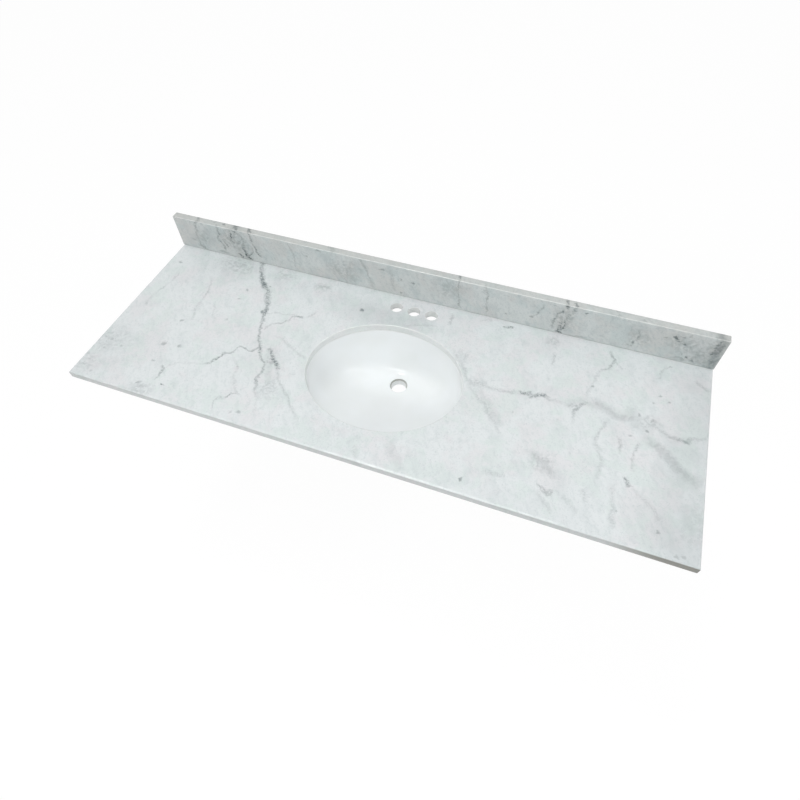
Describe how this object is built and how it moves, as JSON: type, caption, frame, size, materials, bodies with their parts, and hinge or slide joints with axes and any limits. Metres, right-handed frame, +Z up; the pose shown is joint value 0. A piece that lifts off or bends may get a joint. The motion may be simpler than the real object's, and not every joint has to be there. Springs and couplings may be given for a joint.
{
  "type": "vanity sink top",
  "caption": "Long marble vanity top with a separate low backsplash, centreset faucet holes and an oval undermount china basin held by clips.",
  "frame": {"origin": "middle of the width, on the plane of the wall, at the underside of the slab where it rests on the cabinet", "axes": "+X along the wall to the right as seen from the front, +Y into the wall, +Z up"},
  "size_m": [1.5494, 0.5588, 0.2929],
  "materials": {
    "marble": "polished white marble with soft grey veins",
    "china": "gloss white glaze",
    "silicone": "white cured sealant, satin",
    "zinc": "bright zinc plate",
    "brass": "machined"
  },
  "bodies": {
    "root": {"slab": "marble", "backsplash": "marble", "adhesive_bed": "silicone", "basin_seal": "silicone", "basin": "china", "anchor_1": "brass", "anchor_2": "brass", "anchor_3": "brass", "anchor_4": "brass", "anchor_5": "brass", "anchor_6": "brass", "stud_1": "zinc", "stud_2": "zinc", "stud_3": "zinc", "stud_4": "zinc", "stud_5": "zinc", "stud_6": "zinc", "clip_1": "zinc", "clip_2": "zinc", "clip_3": "zinc", "clip_4": "zinc", "clip_5": "zinc", "clip_6": "zinc", "washer_1": "zinc", "washer_2": "zinc", "washer_3": "zinc", "washer_4": "zinc", "washer_5": "zinc", "washer_6": "zinc", "wing_nut_1": "zinc", "wing_nut_2": "zinc", "wing_nut_3": "zinc", "wing_nut_4": "zinc", "wing_nut_5": "zinc", "wing_nut_6": "zinc"}
  },
  "joints": []
}
